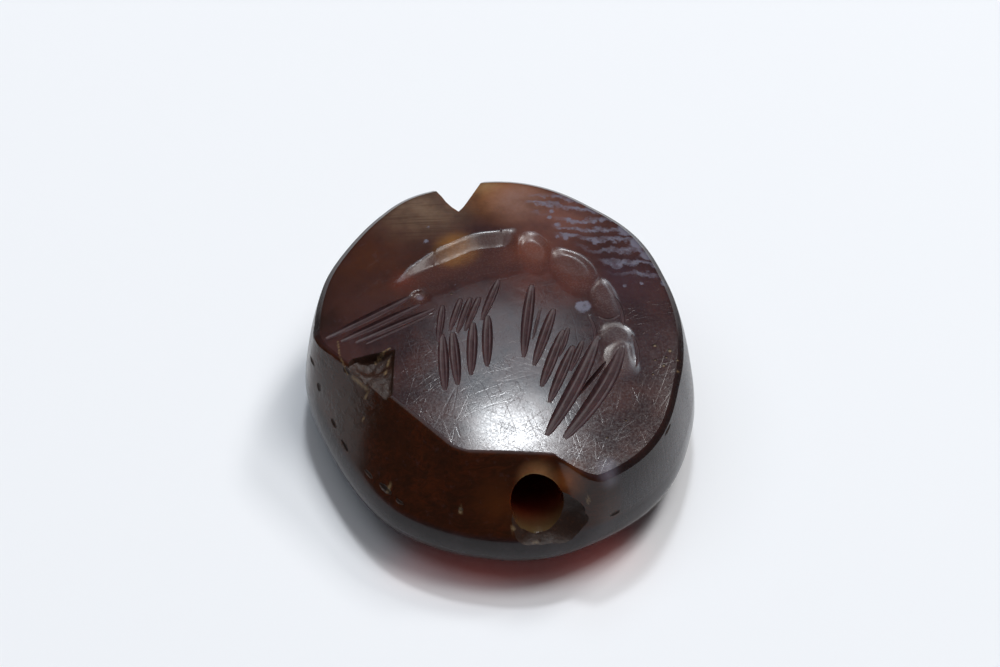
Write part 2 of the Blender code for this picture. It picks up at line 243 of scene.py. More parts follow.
# Whole numbers that scramble a noise cell into its value
CELL_PRIMES, SEED_PRIME = (73856093, 19349663, 83492791), 2654435
SCRAMBLE_PRIME, LOW_31_BITS, LOW_16_BITS = 1274126177, 0x7FFFFFFF, 0xFFFF


def smooth_step(low, high, value):
    share = np.clip((value - low) / (high - low), 0, 1)
    return share * share * (3 - 2 * share)


def smooth_min(first, second):
    overlap = np.maximum(CORNER_BLEND - np.abs(first - second), 0)
    return np.minimum(first, second) - overlap * overlap / CORNER_BLEND / 4


def oval_reach(bearing, side_margin, end_margin, lobes):
    """Distance from the axis to the stone's outline, less a margin at its sides and ends."""
    turn = np.radians(bearing)
    across = np.cos(turn) / (HALF_WIDTH - side_margin)
    along = np.sin(turn) / (HALF_LENGTH - end_margin)
    reach = 1 / np.hypot(across, along)
    for middle, half_span, height in lobes:
        away = np.abs((bearing - middle + 180) % 360 - 180) / half_span
        reach = reach + height * np.clip(1 - away * away, 0, 1) ** 2
    return reach


def chord_reach(bearing, facing, distance):
    """Distance from the axis to a straight cut that faces a bearing."""
    return distance / np.maximum(np.cos(np.radians(bearing - facing)), STEEPEST_CHORD)


def girdle_reach(bearing):
    return oval_reach(bearing, 0, 0, OUTLINE_LOBES + GIRDLE_LOBES)


def whole_face_reach(bearing):
    return oval_reach(bearing, FACE_SIDE_MARGIN, FACE_END_MARGIN, OUTLINE_LOBES)


def face_reach(bearing):
    """The edge of the engraved face, cut back by the two facets."""
    bearing = bearing % 360
    whole = whole_face_reach(bearing)
    cut = smooth_min(whole, chord_reach(bearing, *LEFT_FACET))
    cut = smooth_min(cut, chord_reach(bearing, *FRONT_FACET))
    run_out = np.where(bearing > 270, smooth_step(*FACET_RUN_OUT, bearing), 0)
    return cut + (whole - cut) * run_out


def facet_share(bearing):
    """How far a bearing is cut back by a facet, from 0 to 1."""
    return smooth_step(0, FACET_FULL_CUT, whole_face_reach(bearing) - face_reach(bearing))


def bearing_window(bearing, low, high, fade):
    """1 between two bearings, fading to 0 past each."""
    return smooth_step(low - fade, low, bearing) * (1 - smooth_step(high, high + fade, bearing))


def crown_height(x, y):
    """Height of the gently domed face before it was engraved."""
    return THICKNESS - FACE_CROWN * ((x / HALF_WIDTH) ** 2 + (y / HALF_LENGTH) ** 2)


def lattice_value(cell, seed):
    """A repeatable number from 0 to 1 for each whole-number cell."""
    mixed = np.bitwise_xor.reduce(cell * np.array(CELL_PRIMES), axis=-1) ^ seed * SEED_PRIME
    mixed = (mixed ^ (mixed >> 13)) * SCRAMBLE_PRIME & LOW_31_BITS
    return ((mixed ^ (mixed >> 11)) & LOW_16_BITS) / LOW_16_BITS


def noise(points, size, seed):
    """Smooth noise from -1 to 1 with lumps about as wide as size."""
    place = points / size
    cell = np.floor(place).astype(np.int64)
    share = place - cell
    share = share * share * (3 - 2 * share)
    total = 0
    for corner in range(8):
        step = np.array([corner & 1, corner >> 1 & 1, corner >> 2 & 1])
        weight = np.prod(np.where(step, share, 1 - share), axis=-1)
        total = total + weight * lattice_value(cell + step, seed)
    return total * 2 - 1


def on_stone(shares):
    """Millimetres from shares of the half width and half length."""
    return np.array(shares) * (HALF_WIDTH, HALF_LENGTH)


def curve_through(route, count):
    """Points along a straight or once-bent route, given in shares."""
    spots = on_stone(route)
    bend = spots[1] if len(spots) == 3 else (spots[0] + spots[-1]) / 2
    share = np.linspace(0, 1, count + 1)[:, None]
    return spots[0] * (1 - share) ** 2 + bend * 2 * (1 - share) * share + spots[-1] * share ** 2


def along_line(x, y, line, margin):
    """Which points are near a line, their distance from it, and their share of its length."""
    low, high = line.min(axis=0) - margin, line.max(axis=0) + margin
    near = np.flatnonzero((x > low[0]) & (x < high[0]) & (y > low[1]) & (y < high[1]))
    spot = np.stack([x[near], y[near]], axis=-1)
    best = np.full(len(near), np.inf)
    along = np.zeros(len(near))
    count = len(line) - 1
    for step in range(count):
        leg = line[step + 1] - line[step]
        offset = spot - line[step]
        share = np.clip((offset @ leg) / (leg @ leg), 0, 1)
        away = np.linalg.norm(offset - share[:, None] * leg, axis=-1)
        closer = away < best
        best = np.where(closer, away, best)
        along = np.where(closer, (step + share) / count, along)
    return near, best, along


def trough_depth(x, y):
    """Depth of the hind body: a gentle slope up to its lower edge, a steep wall with a worn lip above."""
    across, lower, upper = np.array(TROUGH).T
    share = x / HALF_WIDTH
    shifted = [share + step for step in TROUGH_ROUNDING]
    low = np.mean([np.interp(place, across, lower) for place in shifted], axis=0) * HALF_LENGTH
    high = np.mean([np.interp(place, across, upper) for place in shifted], axis=0) * HALF_LENGTH
    rise = (y - low) / (high - low)
    slope = np.clip(rise / TROUGH_VALLEY, 0, 1) ** TROUGH_SLOPES[0]
    wall = slope * (1 - np.clip((rise - TROUGH_VALLEY) / (1 - TROUGH_VALLEY), 0, 1) ** TROUGH_SLOPES[1])
    start, full, blunt, end = TROUGH_ENDS
    return TROUGH_DEPTH * wall * smooth_step(start, full, share) * (1 - smooth_step(blunt, end, share))


def hollow_depth(x, y):
    """How deep the rounded hollows of the engraved figure go below the crown."""
    level = np.column_stack([x, y, np.zeros_like(x)])
    x = x + HOLLOW_WANDER * noise(level, HOLLOW_LUMPS, HOLLOW_SEEDS[0])
    y = y + HOLLOW_WANDER * noise(level, HOLLOW_LUMPS, HOLLOW_SEEDS[1])
    depth = trough_depth(x, y)
    for (across, along), half_width, half_length, lean, cut in HOLLOWS:
        turn = math.radians(lean)
        right, up = x - across * HALF_WIDTH, y - along * HALF_LENGTH
        side = (right * math.cos(turn) + up * math.sin(turn)) / half_width
        rise = (up * math.cos(turn) - right * math.sin(turn)) / half_length
        reach = np.hypot(side, rise)
        steep = (side * HOLLOW_STEEP_SIDE[0] + rise * HOLLOW_STEEP_SIDE[1]) / np.maximum(reach, 0.01)
        wall = HOLLOW_WALL + (1 - HOLLOW_WALL) * (0.5 - 0.5 * steep)
        lens = cut * smooth_step(0, 1, (1 - reach) / wall)
        depth = (depth ** HOLLOW_JOIN + lens ** HOLLOW_JOIN) ** (1 / HOLLOW_JOIN)
    return depth


def stroke_cutter(name, route, width, depth, fullest):
    """A boat-shaped cutter along a route, round-bottomed like the edge of an engraving wheel."""
    line = curve_through(route, STROKE_STATIONS)
    travel = np.gradient(line, axis=0)
    side = np.stack([travel[:, 1], -travel[:, 0]], axis=-1) / np.linalg.norm(travel, axis=-1)[:, None]
    stations = np.linspace(STROKE_TIP, 1 - STROKE_TIP, len(line))
    swell = np.sin(np.pi * stations ** (math.log(0.5) / math.log(fullest)))
    rings = []
    for middle, across, size in zip(line, side, swell):
        turn = np.linspace(0, np.pi, STROKE_SIDES)
        spot = middle + across * (width / 2 * size ** STROKE_BLUNTNESS * np.cos(turn))[:, None]
        crown = crown_height(*spot.T)
        ridges = 1 + STRIATION * np.cos(2 * np.pi * STRIATIONS * np.cos(turn))
        floor = crown - depth * size * np.sin(turn) ** STROKE_ROUNDNESS * ridges
        bottom = np.column_stack([spot, floor])
        lid = np.column_stack([spot[[-1, 0]], crown[[-1, 0]] + LID])
        rings.append(np.concatenate([bottom, lid]))
    return lofted(name, rings, "engraved")


def line_strength(x, y, lines):
    """How strongly some soft-edged lines show at each point, from 0 to 1."""
    strength = np.zeros_like(x)
    for route, width in lines:
        near, away, along = along_line(x, y, on_stone(route), width)
        ends = smooth_step(0, LINE_END, along) * smooth_step(0, LINE_END, 1 - along)
        half = width / 2 * (LINE_THINNEST + (1 - LINE_THINNEST) * ends)
        shown = 1 - smooth_step(half * LINE_FADE[0], half * LINE_FADE[1], away)
        strength[near] = np.maximum(strength[near], shown)
    return strength


def spot_strength(x, y, spots):
    """How strongly some round spots show, each given by its middle and radius in millimetres."""
    strength = np.zeros_like(x)
    for across, along, radius in spots:
        away = np.hypot(x - across, y - along) / radius
        strength = np.maximum(strength, 1 - smooth_step(*SPOT_FADE, away))
    return strength


def disc_grid():
    """Bearing and share of the reach for a square grid laid evenly over a disc."""
    line = np.linspace(-1, 1, FACE_CELLS + 1)
    across, along = np.meshgrid(line, line, indexing="ij")
    wide = np.abs(across) > np.abs(along)
    longer = np.where(wide, across, along)
    shorter = np.where(wide, along, across)
    slope = np.divide(shorter, longer, out=np.zeros_like(longer), where=longer != 0)
    bearing = np.where(wide, 45 * slope, 90 - 45 * slope) + np.where(longer < 0, 180, 0)
    return bearing, np.abs(longer)


def rim_order():
    """The grid's outermost vertices, once round from bearing -45."""
    last = FACE_CELLS
    side = range(last)
    places = [(last, step) for step in side] + [(last - step, last) for step in side]
    places += [(0, last - step) for step in side] + [(step, 0) for step in side]
    return [across * (last + 1) + along for across, along in places]


def at_bearing(bearing, reach, height):
    """Points at a distance from the axis, with bearings in degrees."""
    turn = np.radians(bearing)
    return np.stack([reach * np.cos(turn), reach * np.sin(turn), height], axis=-1)


def edge_bevel(bearing):
    """How far back the bevel of the face's edge starts: narrow at the facets, wider elsewhere."""
    return BEVEL_AT_FACET + (BEVEL_ELSEWHERE - BEVEL_AT_FACET) * (1 - facet_share(bearing))


def centring():
    """How far the stone moves so that the origin is under the middle of its girdle."""
    bearing = 360 * np.arange(SOLID_BEARINGS) / SOLID_BEARINGS
    ring = at_bearing(bearing, girdle_reach(bearing), np.zeros_like(bearing))
    return -(ring.min(axis=0) + ring.max(axis=0)) / 2


CENTRING = centring()


def side_point(bearing, share):
    """A point on the straight side, at a share of the way from the face's edge to the girdle band."""
    edge = face_reach(bearing)
    turn = np.radians(bearing)
    top = at_bearing(bearing, edge, crown_height(edge * np.cos(turn), edge * np.sin(turn)))
    foot = at_bearing(bearing, band_reach(bearing, 1), np.full_like(edge, GIRDLE_HEIGHT + BAND_HEIGHT))
    outward = at_bearing(bearing, np.ones_like(edge), np.zeros_like(edge))
    share = np.reshape(share, (-1, 1))
    return top + (foot - top) * share + outward * SIDE_BULGE * np.sin(np.pi * share)


def on_side(bearing, share):
    """One place on the straight side, from plain numbers."""
    return side_point(np.array([float(bearing)]), share)[0]


def band_reach(bearing, share):
    """Reach of the band over the girdle, at a share of its height."""
    setback = BAND_SETBACK * (BAND_LEAST_SHARE + (1 - BAND_LEAST_SHARE) * facet_share(bearing))
    return girdle_reach(bearing) - GIRDLE_WEAR - setback * share * share


def face_point(bearing, reach):
    """A point on the domed face."""
    turn = np.radians(bearing)
    return at_bearing(bearing, reach, crown_height(reach * np.cos(turn), reach * np.sin(turn)))


def side_rings():
    """Rings from just outside the face's grid down to the flat spot that the stone rests on."""
    bearing = -45 + 360 * np.arange(COLUMNS) / COLUMNS
    back = edge_bevel(bearing)
    inner = face_point(bearing, face_reach(bearing) - back)
    length = np.linalg.norm(side_point(bearing, 1) - side_point(bearing, 0), axis=-1)
    start = back / length
    outer = side_point(bearing, start)
    rings = []
    for step in range(1, BEVEL_RINGS + 1):
        rings.append(inner + (outer - inner) * step / BEVEL_RINGS)
    for step in range(1, SIDE_RINGS + 1):
        rings.append(side_point(bearing, start + (1 - start) * step / SIDE_RINGS))
    for step in range(1, BAND_RINGS + 1):
        share = 1 - step / BAND_RINGS
        height = np.full_like(bearing, GIRDLE_HEIGHT + BAND_HEIGHT * share)
        rings.append(at_bearing(bearing, band_reach(bearing, share), height))
    for step in range(1, UNDERSIDE_RINGS + 1):
        droop = math.pi / 2 * step / UNDERSIDE_RINGS
        widest = girdle_reach(bearing) - GIRDLE_WEAR
        reach = REST_SPOT_RADIUS + (widest - REST_SPOT_RADIUS) * math.cos(droop)
        height = np.full_like(bearing, GIRDLE_HEIGHT * (1 - math.sin(droop)))
        rings.append(at_bearing(bearing, reach, height))
    return rings


def stone_points():
    """Every vertex before the breaks: the face's grid, then the rings."""
    bearing, share = disc_grid()
    grid = face_point(bearing, share * (face_reach(bearing) - edge_bevel(bearing))).reshape(-1, 3)
    return np.concatenate([grid] + side_rings())


def stone_faces():
    """The faces over stone_points: the grid's squares, the rings' strips and the resting flat."""
    last = FACE_CELLS
    corner = np.add.outer(np.arange(last) * (last + 1), np.arange(last)).ravel()
    grid = np.stack([corner, corner + last + 1, corner + last + 2, corner + 1], axis=-1)
    rows = [np.array(rim_order())]
    count = BEVEL_RINGS + SIDE_RINGS + BAND_RINGS + UNDERSIDE_RINGS
    first = (last + 1) ** 2
    rows += [first + ring * COLUMNS + np.arange(COLUMNS) for ring in range(count)]
    faces = grid.tolist()
    for high, low in zip(rows, rows[1:]):
        faces += np.stack([high, low, np.roll(low, -1), np.roll(high, -1)], axis=-1).tolist()
    faces.append(rows[-1][::-1].tolist())
    return faces


def placed(name, data):
    """An object for the data, linked into the scene."""
    made = bpy.data.objects.new(name, data)
    bpy.context.scene.collection.objects.link(made)
    return made


def mesh_object(name, points, faces, mark):
    """A mesh object from points in millimetres, moved from the stone's frame to the part's.

    Its marker material tells which cutter each face of the finished stone comes from.
    """
    data = bpy.data.meshes.new(name)
    data.materials.append(bpy.data.materials.get(mark) or bpy.data.materials.new(mark))
    data.from_pydata(((points + CENTRING) * MM).tolist(), [], faces)
    data.validate()
    return placed(name, data)


def lofted(name, rings, mark):
    """A closed cutter through rings of equally many points."""
    count = len(rings[0])
    faces = [list(range(count))[::-1]]
    for row in range(len(rings) - 1):
        for step in range(count):
            after = (step + 1) % count
            low, high = row * count, (row + 1) * count
            faces.append((low + step, low + after, high + after, high + step))
    faces.append([(len(rings) - 1) * count + step for step in range(count)])
    return mesh_object(name, np.concatenate(rings), faces, mark)


def string_hole():
    """The bore along Y, with the faint rings that the drill left."""
    turn = np.radians(np.arange(0, 360, BORE_STEP))
    rings = []
    for y in np.linspace(-BORE_OVERRUN * HALF_LENGTH, BORE_OVERRUN * HALF_LENGTH, BORE_RINGS):
        radius = HOLE_RADIUS + sum(height * math.sin(y * speed) for height, speed in BORE_RIPPLES)
        rings.append(np.stack([radius * np.cos(turn), np.full_like(turn, y),
                               HOLE_Z + radius * np.sin(turn)], axis=-1)[::-1])
    return lofted("string_hole", rings, "bore")


def broken_roof():
    """The V where the thin roof over the far end of the hole has broken off."""
    plan = on_stone(NOTCH)
    rings = [np.column_stack([plan, np.full(len(plan), z)]) for z in NOTCH_HEIGHTS]
    return lofted("broken_roof", rings, "fracture")


def flake():
    """The torn scar on the left edge: steep under its upper edge, open towards the facet."""
    corners = on_stone(FLAKE + FLAKE[:1])
    walk = np.concatenate([[0], np.cumsum(np.linalg.norm(np.diff(corners, axis=0), axis=1))])
    steps = np.linspace(0, walk[-1], FLAKE_STEPS, endpoint=False)
    outline = np.column_stack([np.interp(steps, walk, corners[:, axis]) for axis in (0, 1)])
    middle = on_stone(FLAKE_MIDDLE)
    pit, pit_size, pit_depth = FLAKE_PIT
    rings = []
    for share in FLAKE_RINGS:
        x, y = (middle + (outline - middle) * share).T
        level = np.column_stack([x, y, np.zeros_like(x)])
        across, along = x - pit[0] * HALF_WIDTH, FLAKE_PIT_SQUASH * (y - pit[1] * HALF_LENGTH)
        away = np.hypot(across, along) / pit_size
        torn = sum(height * noise(level, size, seed) for height, size, seed in FLAKE_LUMPS)
        depth = FLAKE_DEPTH + pit_depth * np.clip(1 - away * away, 0, 1) + torn
        depth = depth * (1 - smooth_step(FLAKE_WALL, 1, share)) - FLAKE_OVERLAP
        rings.append(np.column_stack([x, y, crown_height(x, y) - depth]))
    rings.append(np.column_stack([x, y, np.full_like(x, THICKNESS + LID)]))
    return lofted("flake", rings, "fracture")


def side_facing(bearing, share):
    """The direction that the side faces."""
    around = side_point(bearing + 1, share) - side_point(bearing - 1, share)
    rise = side_point(bearing, share - 0.05) - side_point(bearing, share + 0.05)
    facing = np.cross(around, rise)[0]
    return facing / np.linalg.norm(facing)


def shell(name, middle, facing, half_width, half_height, depth, seed):
    """A lumpy lens that cuts a chip, with its short way along the direction that the surface faces."""
    level = np.cross((0, 0, 1), facing) if facing[2] < 0.99 else np.array([1, 0, 0])
    level = level / np.linalg.norm(level)
    rise = np.cross(facing, level)
    turn = np.radians(np.arange(0, 360, SHELL_STEP))
    rings = []
    for tip in np.radians(np.linspace(180 - SHELL_TIP, SHELL_TIP, SHELL_RINGS)):
        ring = np.outer(half_width * math.sin(tip) * np.cos(turn), level)
        ring = ring + np.outer(half_height * math.sin(tip) * np.sin(turn), rise)
        ring = ring + depth * math.cos(tip) * facing
        lumps = sum(high * noise(ring + middle, half_width * size, seed) for high, size in SHELL_LUMPS)
        rings.append(middle + ring * (1 + lumps)[:, None])
    return lofted(name, rings, "fracture")


def chips_and_pecks():
    """A cutter for each chip off the side and each peck in the face."""
    cutters = []
    for number, (bearing, share, *size) in enumerate(CHIPS):
        middle, facing = on_side(bearing, share), side_facing(np.array([float(bearing)]), share)
        cutters.append(shell(f"chip_{number}", middle, facing, *size, CHIP_SEED + number))
    for number, (across, along, half_width) in enumerate(PECKS):
        x, y = across * HALF_WIDTH, along * HALF_LENGTH
        middle, facing = np.array([x, y, crown_height(x, y)]), np.array([0.0, 0.0, 1.0])
        size = (half_width, half_width * PECK_SQUASH, PECK_DEPTH)
        cutters.append(shell(f"peck_{number}", middle, facing, *size, PECK_SEED + number))
    return cutters


def subtract(stone, cutters):
    """Cuts the cutters out of the stone, whose new faces keep each cutter's marker material."""
    for cutter in cutters:
        cut = stone.modifiers.new(cutter.name, "BOOLEAN")
        cut.operation = "DIFFERENCE"
        cut.solver = "MANIFOLD"
        cut.material_mode = "TRANSFER"
        cut.object = cutter
    view = bpy.context.evaluated_depsgraph_get()
    carved = bpy.data.meshes.new_from_object(stone.evaluated_get(view))
    stone.modifiers.clear()
    stone.data = carved
    for cutter in cutters:
        bpy.data.objects.remove(cutter)


def dressed_stone():
    """The engraved, broken and worn stone, with the masks that its material reads."""
    points = stone_points()
    on_top = (FACE_CELLS + 1) ** 2
    points[:on_top, 2] -= hollow_depth(points[:on_top, 0], points[:on_top, 1])
    points[:on_top, 2] -= FACE_WAVE * (1 + noise(points[:on_top], FACE_WAVE_LENGTH, FACE_WAVE_SEED))
    stone = mesh_object("engraved_stone", points, stone_faces(), "polished")
    strokes = [stroke_cutter(f"stroke_{number}", *stroke) for number, stroke in enumerate(STROKES)]
    subtract(stone, strokes + [string_hole(), broken_roof(), flake()] + chips_and_pecks())
    stone.data.shade_smooth()
    stone.data.set_sharp_from_angle(angle=math.radians(SHARP_ANGLE))
    name_places(stone)
    turn_marks_to_masks(stone)
    return stone


def turn_marks_to_masks(stone):
    """Gives each face a mask for the cutter it comes from, in place of the marker materials."""
    marks = [slot.name for slot in stone.data.materials]
    slots = np.zeros(len(stone.data.polygons), dtype=np.int32)
    stone.data.polygons.foreach_get("material_index", slots)
    for mark in ("engraved", "fracture", "bore"):
        layer = stone.data.attributes.new(mark, "FLOAT", "FACE")
        share = np.array([name == mark for name in marks])[slots]
        layer.data.foreach_set("value", share.astype(np.float32))
    stone.data.polygons.foreach_set("material_index", np.zeros_like(slots))
    stone.data.materials.clear()
    for mark in set(marks):
        bpy.data.materials.remove(bpy.data.materials[mark])


def name_places(stone):
    """Stores on each vertex what kind of surface it lies on, for the stone's material to read."""
    count = len(stone.data.vertices)
    flat = np.zeros(count * 3)
    stone.data.vertices.foreach_get("co", flat)
    x, y, z = (flat.reshape(-1, 3) / MM - CENTRING).T
    reach = np.hypot(x, y)
    bearing = np.degrees(np.arctan2(y, x)) % 360
    edge = face_reach(bearing)
    face = 1 - smooth_step(*FACE_FADE, reach - edge)
    above_band = smooth_step(*BAND_FADE, z - GIRDLE_HEIGHT - BAND_HEIGHT)
    side = (1 - face) * above_band
    ground = smooth_step(*GROUND_FADE, facet_share(bearing))
    ground = np.maximum(ground, bearing_window(bearing, *LEFT_GROUND))
    # Painted glints on the chips of the side and in the pecks, mixed with pale wear
    wear_and_glint_spots = [(*on_side(place, share)[:2], size) for place, share, size in WORN_AND_GLINT_SPOTS]
    wear_and_glint_spots += [(*on_stone(spot), size * PECK_GLINT) for *spot, size in PECKS]
    flecks = [(*on_stone(spot), size) for *spot, size in FLECKS]
    banded = [(*on_stone(spot), size) for *spot, size in BAND_PLACES]
    places = {
        "hollow": face * np.clip(hollow_depth(x, y) / HOLLOW_FULL, 0, 1),
        "banded": face * spot_strength(x, y, banded),
        "fleck": face * spot_strength(x, y, flecks),
        "facet": side * ground,
        "side": side * (1 - ground),
        "band": (1 - face) * (1 - above_band),
        # The rim mask marks a painted dark line just inside the face's edge, in place of the dark that the
        # bevel reflects
        "rim": (1 - ground) * np.exp(-((reach - edge + RIM_SETBACK) / RIM_WIDTH) ** 2) * (z > THICKNESS / 2),
        "pitted": (1 - face) * bearing_window(bearing, *PITTED_BEARINGS) * smooth_step(*PITTED_HEIGHTS, z),
        # The worn mask is partly pale wear and partly painted glints
        "worn": np.maximum(line_strength(x, y, WORN_AND_GLINT_LINES), spot_strength(x, y, wear_and_glint_spots)),
    }
    for name, share in places.items():
        layer = stone.data.attributes.new(name, "FLOAT", "POINT")
        layer.data.foreach_set("value", share.astype(np.float32))


class Wiring:
    """Adds nodes to a material's tree, over places in millimetres.

    An input may be a socket or a plain value.
    """

    def __init__(self, material):
        material.use_nodes = True
        self.tree = material.node_tree
        self.shader = self.tree.nodes["Principled BSDF"]
        place = self.node("ShaderNodeTexCoord", {}, "Object")
        self.place = self.node("ShaderNodeVectorMath", {0: place, "Scale": 1 / MM}, operation="SCALE")
        self.textures = {}

    def node(self, kind, inputs, output=0, **settings):
        made = self.tree.nodes.new(kind)
        for name, value in settings.items():
            setattr(made, name, value)
        for place, value in inputs.items():
            socket = made.inputs[place]
            if isinstance(value, bpy.types.NodeSocket):
                self.tree.links.new(value, socket)
            else:
                socket.default_value = value
        return made.outputs[output]

    def math(self, operation, first, second=0.0, clamp=False):
        return self.node("ShaderNodeMath", {0: first, 1: second}, operation=operation, use_clamp=clamp)

    def times(self, first, second, clamp=False):
        return self.math("MULTIPLY", first, second, clamp)

    def plus(self, first, second):
        return self.math("ADD", first, second)

    def ramp(self, value, low, high, bottom=0.0, top=1.0):
        """Runs smoothly from bottom to top while the value goes from low to high."""
        inputs = {"Value": value, "From Min": low, "From Max": high, "To Min": bottom, "To Max": top}
        return self.node("ShaderNodeMapRange", inputs, interpolation_type="SMOOTHSTEP")

    def mix(self, share, first, second):
        return self.node("ShaderNodeMix", {0: share, 6: first, 7: second}, 2, data_type="RGBA")

    def noise(self, place, scale=1.0, detail=2.0, roughness=0.5, distortion=0.0):
        inputs = {"Vector": place, "Scale": scale, "Detail": detail, "Roughness": roughness,
                  "Distortion": distortion}
        return self.node("ShaderNodeTexNoise", inputs, "Fac")

    def texture(self, *kind):
        """A noise over the whole stone, made once however often it is asked for."""
        if kind not in self.textures:
            self.textures[kind] = self.noise(self.place, *kind)
        return self.textures[kind]

    def stretched(self, scale, turn=0.0, shift=0.0):
        """The place shifted, turned about Z, and divided by a size along each axis."""
        inputs = {"Vector": self.place, "Scale": scale, "Rotation": (0, 0, math.radians(turn)),
                  "Location": (shift, shift, 0)}
        return self.node("ShaderNodeMapping", inputs, vector_type="TEXTURE")

    def mask(self, name):
        return self.node("ShaderNodeAttribute", {}, "Fac", attribute_name=name)

    def spot(self, middle, radius):
        """A soft round mask about a place in millimetres, 1 at its middle."""
        away = self.node("ShaderNodeVectorMath", {0: self.place, 1: middle}, "Value", operation="DISTANCE")
        return self.ramp(away, 0.0, radius, 1.0, 0.0)


# Soft patches of colour under the polish, a few of them partly painted glow as marked below: middle of the
# patch in millimetres, radius, colour, strength
PATCHES = (
    ((-5.0, 6.0, 6.0), 5.5, (0.062, 0.02, 0.01), 0.85),
    ((-6.9, 4.2, 5.6), 2.4, (0.035, 0.014, 0.01), 0.6),
    ((-7.9, 2.6, 5.4), 1.7, (0.016, 0.0075, 0.004), 0.8),
    # These five, round the broken notch: partly the stone's amber, partly painted glow of light through the
    # thin stone there
    ((-2.0, 8.6, 6.0), 3.6, (0.17, 0.11, 0.075), 0.85),
    ((2.2, 8.6, 6.0), 3.2, (0.26, 0.1, 0.03), 0.9),
    ((1.0, 9.6, 6.0), 1.6, (0.3, 0.2, 0.1), 0.7),
    ((4.0, 6.8, 6.0), 3.6, (0.17, 0.075, 0.06), 0.8),
    ((2.4, 7.8, 6.0), 2.0, (0.21, 0.125, 0.11), 0.75),
    ((3.0, 2.8, 6.3), 3.4, (0.12, 0.038, 0.028), 0.75),
    ((6.5, 1.8, 6.3), 2.6, (0.045, 0.022, 0.03), 0.7),
    ((6.5, -2.0, 6.3), 4.0, (0.036, 0.02, 0.024), 0.7),
    ((-1.0, 5.2, 6.2), 1.4, (0.42, 0.19, 0.04), 0.8),
    ((-3.7, 3.8, 6.2), 1.1, (0.13, 0.025, 0.012), 0.75),
    ((2.3, 4.6, 6.2), 1.5, (0.2, 0.055, 0.025), 0.75),
    # These two, over the bore's mouth: partly the stone's orange, partly painted glow of light through the
    # thin wall over the bore
    ((1.6, -8.1, 5.4), 1.1, (0.3, 0.085, 0.018), 0.85),
    ((0.0, -8.0, 5.5), 1.2, (0.34, 0.17, 0.075), 0.9),
    ((-1.8, -8.4, 4.6), 1.9, (0.085, 0.022, 0.005), 0.6),
    ((-7.4, -1.5, 4.6), 2.6, (0.04, 0.015, 0.006), 0.7),
    ((3.2, -8.3, 5.6), 0.9, (0.24, 0.23, 0.29), 0.8),
)

# Colours as linear red, green, blue and alpha: a pair runs from the low to the high end of its noise
BODY = (0.026, 0.0115, 0.0125, 1), (0.05, 0.0205, 0.019, 1)
FACET_RED = (0.022, 0.0075, 0.0035, 1), (0.07, 0.0145, 0.004, 1)
GROWTH_LINE = (0.045, 0.022, 0.015, 1)
BLUE_WHITE = (0.17, 0.165, 0.215, 1)
FLANK_GREY = (0.012, 0.008, 0.009, 1), (0.032, 0.024, 0.028, 1)
BAND_GREY = (0.014, 0.008, 0.008, 1), (0.03, 0.02, 0.023, 1)
HOLLOW_RED = (0.1, 0.042, 0.034, 1)
STROKE_PURPLE = (0.03, 0.012, 0.014, 1), (0.055, 0.024, 0.027, 1)
TORN_BROWN = (0.022, 0.0075, 0.003, 1), (0.07, 0.025, 0.009, 1)
# The bore's mouth is brown stone; its inside is painted with a red glow, as of light through the stone
BORE_MOUTH, BORE_PAINTED_GLOW = (0.07, 0.042, 0.018, 1), (0.11, 0.011, 0.004, 1)
# Painted shade: a dark line along the face's edge, where the bevel reflects the dark room
RIM_PAINTED_SHADE = (0.01, 0.006, 0.005, 1)
# Pale wear, also used as painted glints on ridges, chips and pecks
WORN_AND_GLINT_PALE = (0.19, 0.125, 0.065, 1)

# Noises as scale per millimetre, detail and roughness
CLOUD, WOBBLE, RAGGED = (0.5, 4.0, 0.6), (0.6, 4.0, 0.65), (2.6, 4.0, 0.65)
SUGAR, GRAIN = (7.0, 4.0, 0.7), (9.0, 4.0, 0.65)
BRUISES, POLISH_PATCHES = (1.6, 5.0, 0.7), (0.9, 3.0, 0.6)

# Stretched noises as millimetres along each axis and degrees turned
FACET_STREAKS, GROWTH_STREAKS = ((1.3, 0.4, 0.3), 12), ((4.0, 0.12, 1.0), -12)
FLANK_STREAKS = ((0.16, 0.16, 1.6), 0)

# Growth lines beside the notch: the middle of the place where they show, its radius, and strength
GROWTH_PLACE, GROWTH_RADIUS, GROWTH_STRENGTH = (-2.5, 7.5, 6.0), 4.0, 0.5

# Blue-white bands: the direction across them, their spacing in millimetres and how far they waver
BAND_DIRECTION, BAND_SPACING = (0.27, 0.96, 0.0), 0.62
BAND_WAVER, BAND_RAGGEDNESS, BAND_STRENGTH = 1.7, 0.36, 0.75

# How much of each colour covers the stone where its mask is full
SIDE_TINT, HOLLOW_TINT, STROKE_TINT, TORN_TINT = 0.8, 0.4, 0.8, 0.9
# The rim's share is how much of the painted shade along the face's edge shows
BRUISE_TINT, RIM_SHADE_TINT = 0.6, 0.75

# Where along Y the bore turns from its lit brown mouth to its shaded inside, which is painted with a red
# glow, in millimetres
BORE_GLOW_RAMP = (-9.2, -7.4)

# Roughness of the polish, and what each place adds to it
POLISH = (0.12, 0.22)
HOLLOW_ROUGHER, STROKE_ROUGHER, TORN_ROUGHER, SIDE_ROUGHER = 0.09, 0.35, 0.28, 0.1
HOLLOW_EDGE = 0.25

# Relief of the polish, torn stone and sides, in heights of BUMP_HEIGHT metres
BUMP_HEIGHT = 0.000006
GRAIN_RELIEF, SUGAR_RELIEF, SIDE_RELIEF, BRUISE_RELIEF = 0.07, 6.0, 2.0, 0.4

